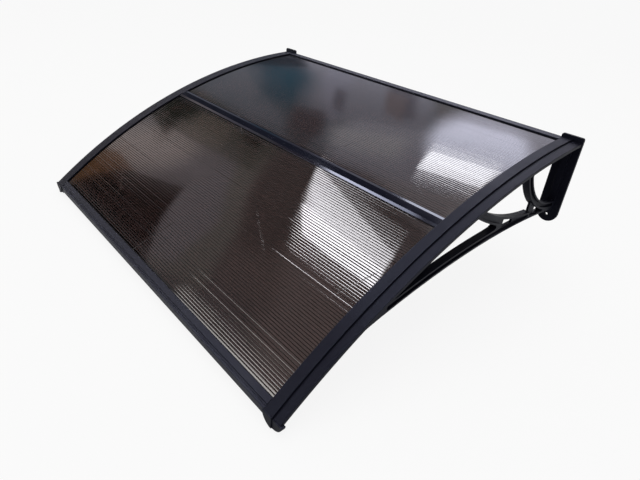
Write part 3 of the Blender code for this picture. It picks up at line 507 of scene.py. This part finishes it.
def flute_hollows(first, turn, count):
    """Outlines of the open channels between the ribs."""
    rib = RIB_THICKNESS / sheet_radius / 2
    ceiling = sheet_radius - SKIN_THICKNESS
    ground = bottom_radius + SKIN_THICKNESS
    loops = []
    for index in range(count):
        near = first - index * turn - rib
        far = first - (index + 1) * turn + rib
        loops.append([on_arch(near, ceiling), on_arch(far, ceiling),
                      on_arch(far, ground), on_arch(near, ground)])
    return loops


def extrude(work, loops, kinds, left, right):
    """A solid along X with the outline loops[0] and the holes loops[1:].

    kinds holds the material of each side of the outline.
    """
    left_rings = []
    right_rings = []
    for number, loop in enumerate(loops):
        near = [work.verts.new((left, y, z)) for y, z in loop]
        far = [work.verts.new((right, y, z)) for y, z in loop]
        for index in range(len(loop)):
            after = (index + 1) % len(loop)
            face = work.faces.new((near[index], near[after], far[after], far[index]))
            face.smooth = True
            face.material_index = INSIDE if number else kinds[index]
        left_rings.append(near)
        right_rings.append(far)
    fill_between(work, left_rings)
    fill_between(work, right_rings)


def fluted_sheet(node, materials):
    """A twin-wall sheet bent round the arch: two uneven skins joined by ribs."""
    front, rear = sheet_angles(node)
    low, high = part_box(node)
    turn = FLUTE_PITCH / (sheet_radius - SHEET_THICKNESS / 2)
    count = int((rear - front) / turn)
    first = rear - ((rear - front) - count * turn) / 2
    last = first - count * turn
    top, bottom, dull = flute_skins(node, first, turn, count)
    deepest = SKIN_BOW[node] * (1 + UNEVEN) * LONE_BOW + SINK_DEPTH
    for skin, radius in ((top, sheet_radius - deepest), (bottom, bottom_radius + deepest)):
        skin.insert(0, on_arch(rear, radius))
        skin += [on_arch(last, radius), on_arch(front, radius)]
    kinds = [TOP_SKIN] * (len(top) - 1) + [UNDERSIDE] * (len(bottom) + 1)
    for index in dull:
        kinds[index + 1] = DULL_LINE
    work = bmesh.new()
    loops = [top + bottom[::-1]] + flute_hollows(first, turn, count)
    extrude(work, loops, kinds, low.x, high.x)
    mesh = built_mesh(work, node + "_fluted")
    piece = new_piece(node + "_fluted", mesh, materials[0])
    for material in materials[1:]:
        mesh.materials.append(material)
    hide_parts(node)


def screw_profile(length):
    """(distance from the tip, radius) along a self-tapping screw with a pan head."""
    base = length - HEAD_HEIGHT
    profile = [(0.0, TIP_RADIUS), (TIP_LENGTH, SHAFT_ROOT)]
    place = THREAD_START
    while place < base - THREAD_PITCH:
        crest = place + THREAD_RISE * THREAD_PITCH
        profile += [(place, SHAFT_ROOT), (crest, SHAFT_CREST)]
        place += THREAD_PITCH
    profile += [(base, SHAFT_ROOT), (base, HEAD_RADIUS)]
    for rise, reach in HEAD_DOME:
        profile.append((base + rise * HEAD_HEIGHT, reach * HEAD_RADIUS))
    return profile


def recess_outline():
    """The cross recess in a screw's head, round its middle."""
    arm, wide = RECESS_ARM, RECESS_WIDE
    return [(arm, -wide), (arm, wide), (wide, wide), (wide, arm), (-wide, arm),
            (-wide, wide), (-arm, wide), (-arm, -wide), (-wide, -wide), (-wide, -arm),
            (wide, -arm), (wide, -wide)]


def make_screw(node, material):
    """A screw along X with threads and a cross recess, its head on the bracket's outside."""
    low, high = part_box(node)
    middle = (low + high) / 2
    outward = math.copysign(1, middle.x)
    length = high.x - low.x
    tip = middle.x - outward * length / 2

    def point(along, across, up):
        return (tip + outward * along, middle.y + across, middle.z + up)

    work = bmesh.new()
    rings = []
    for along, radius in screw_profile(length):
        ring = []
        for index in range(SCREW_SIDES):
            angle = 2 * math.pi * index / SCREW_SIDES
            across, up = radius * math.cos(angle), radius * math.sin(angle)
            ring.append(work.verts.new(point(along, across, up)))
        rings.append(ring)
    recess = []
    for depth, share in ((0, 1.0), (RECESS_DEPTH, RECESS_TAPER)):
        recess.append([work.verts.new(point(length - depth, across * share, up * share))
                       for across, up in recess_outline()])
    join_rings(work, rings)
    join_rings(work, recess)
    work.faces.new(rings[0])
    work.faces.new(recess[-1])
    fill_between(work, [rings[-1], recess[0]])
    for face in work.faces:
        face.smooth = True
    mesh = built_mesh(work, node + "_threaded")
    piece = new_piece(node + "_threaded", mesh, material)
    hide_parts(node)


def smooth_copy(node, material, crease):
    """The node's own shape with its edges welded and its curves shaded smooth."""
    mesh = nodes[node].data.copy()
    mesh.name = node + "_finished"
    mesh.materials.clear()
    work = bmesh.new()
    work.from_mesh(mesh)
    bmesh.ops.remove_doubles(work, verts=work.verts, dist=WELD_DISTANCE)
    for face in work.faces:
        face.smooth = True
    work.to_mesh(mesh)
    work.free()
    mesh.set_sharp_from_angle(angle=math.radians(crease))
    piece = new_piece(node + "_finished", mesh, material)
    weighted = piece.modifiers.new("weighted", "WEIGHTED_NORMAL")
    weighted.keep_sharp = True
    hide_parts(node)


def dress_canopy():
    """Every node gets its finish; the sheets get their flutes."""
    plastic = moulded_plastic()
    satin_coat = powder_coat("black_coated_aluminium", SATIN_ROUGH)
    gloss_coat = powder_coat("gloss_black_aluminium", GLOSS_ROUGH)
    smoke = [smoked_polycarbonate("smoked_polycarbonate", SMOKE),
             smoked_polycarbonate("smoked_underside", UNDER),
             smoked_polycarbonate("clear_ribs", CLEAR),
             dull_plastic()]
    rubber = soft_rubber()
    zinc = black_zinc()
    for node in sorted(nodes):
        if node.startswith("sheet"):
            fluted_sheet(node, smoke)
        elif node.startswith("bracket"):
            smooth_copy(node, plastic, BRACKET_CREASE)
        elif node == "mid_bar":
            smooth_copy(node, gloss_coat, BAR_CREASE)
        elif node.endswith("bar"):
            smooth_copy(node, satin_coat, BAR_CREASE)
        elif node.startswith("screw"):
            make_screw(node, zinc)
        else:
            smooth_copy(node, rubber, SEAL_CREASE)


# Light and camera
def make_camera():
    data = bpy.data.cameras.new("camera")
    data.lens = CAMERA_LENS
    data.sensor_width = CAMERA_SENSOR
    data.clip_start, data.clip_end = CAMERA_REACH
    camera = bpy.data.objects.new("camera", data)
    camera.location = CAMERA_PLACE
    camera.rotation_euler = [math.radians(angle) for angle in CAMERA_TURN]
    bpy.context.scene.collection.objects.link(camera)
    bpy.context.scene.camera = camera


def make_lights():
    """One wide soft lamp overhead."""
    data = bpy.data.lights.new("key", "AREA")
    data.shape = "SQUARE"
    data.size = KEY_SIZE
    data.energy = KEY_RADIANCE * KEY_SIZE ** 2 * math.pi
    lamp = bpy.data.objects.new("key", data)
    lamp.location = KEY_PLACE
    bpy.context.scene.collection.objects.link(lamp)


def direction(azimuth, elevation):
    """Unit vector; azimuth 0 is towards +Y and 90 towards -X, in degrees."""
    a, e = math.radians(azimuth), math.radians(elevation)
    return Vector((-math.sin(a) * math.cos(e), math.cos(a) * math.cos(e), math.sin(e)))


def patch(tree, behind, corners, blur, colour):
    """A patch of one colour over what is behind it, with straight sides and a soft edge."""
    geometry = add_node(tree, "TexCoord")
    facing = [direction(*corner) for corner in corners]
    soft = math.radians(blur)
    sides = []
    for start, end in zip(facing, facing[1:] + facing[:1]):
        inside = add_node(tree, "VectorMath", operation="DOT_PRODUCT")
        link(tree, geometry.outputs["Generated"], inside.inputs[0])
        inside.inputs[1].default_value = start.cross(end).normalized()
        sides.append(ranged(tree, inside.outputs["Value"], (-soft, soft), (0, 1),
                            fading="SMOOTHSTEP"))
    share = sides[0]
    for side in sides[1:]:
        share = combined(tree, "MULTIPLY", share, side)
    over = add_node(tree, "MixRGB")
    link(tree, share, over.inputs["Fac"])
    link(tree, behind, over.inputs["Color1"])
    over.inputs["Color2"].default_value = (*colour, 1)
    return over.outputs["Color"]


def room(tree):
    """What glossy surfaces mirror: pale at the horizon, dim above, with its patches."""
    geometry = add_node(tree, "TexCoord")
    split = add_node(tree, "SeparateXYZ")
    link(tree, geometry.outputs["Generated"], split.inputs[0])
    total = ramp(tree, split.outputs["Z"], ROOM_GREYS)
    for place in ROOM_PATCHES + ROOM_WINDOWS:
        total = patch(tree, total, *place)
    return total


def camera_or_through(tree, path):
    """1 for what the camera sees, itself or through a sheet."""
    return combined(tree, "MAXIMUM", path.outputs["Is Camera Ray"],
                    path.outputs["Is Transmission Ray"])


def make_world():
    """White to the camera and through the sheets, soft light on the canopy."""
    world = bpy.data.worlds.new("studio")
    bpy.context.scene.world = world
    world.use_nodes = True
    tree = world.node_tree
    tree.nodes.clear()
    output = add_node(tree, "OutputWorld")
    path = add_node(tree, "LightPath")
    ambient = add_node(tree, "Background", Color=AMBIENT_GREY, Strength=AMBIENT)
    white = add_node(tree, "Background", Color=WHITE)
    mirrored = add_node(tree, "Background")
    link(tree, room(tree), mirrored.inputs["Color"])
    lit = mixed(tree, path.outputs["Is Glossy Ray"], ambient.outputs[0], mirrored.outputs[0])
    seen = mixed(tree, camera_or_through(tree, path), lit, white.outputs[0])
    link(tree, seen, output.inputs["Surface"])


def make_floor():
    """A plain pale floor, white to the camera apart from the canopy's shadow."""
    mesh = bpy.data.meshes.new("floor")
    half = FLOOR_SIZE / 2
    height = cad_box[0].z - FLOOR_GAP
    mesh.from_pydata([(-half, -half, height), (half, -half, height),
                      (half, half, height), (-half, half, height)], [], [(0, 1, 2, 3)])
    floor = bpy.data.objects.new("floor", mesh)
    bpy.context.scene.collection.objects.link(floor)
    material, tree, output = new_material("pale_floor")
    matte = add_node(tree, "BsdfDiffuse", Color=FLOOR_GREY)
    glow = add_node(tree, "Emission", Color=WHITE)
    path = add_node(tree, "LightPath")
    share = add_node(tree, "Math", operation="MULTIPLY")
    link(tree, camera_or_through(tree, path), share.inputs[0])
    share.inputs[1].default_value = FLOOR_WHITE
    mix = mixed(tree, share.outputs[0], matte.outputs[0], glow.outputs[0])
    link(tree, mix, output.inputs["Surface"])
    mesh.materials.append(material)


make_camera()
dress_canopy()
make_floor()
make_lights()
make_world()
bpy.context.scene.view_settings.view_transform = "Standard"
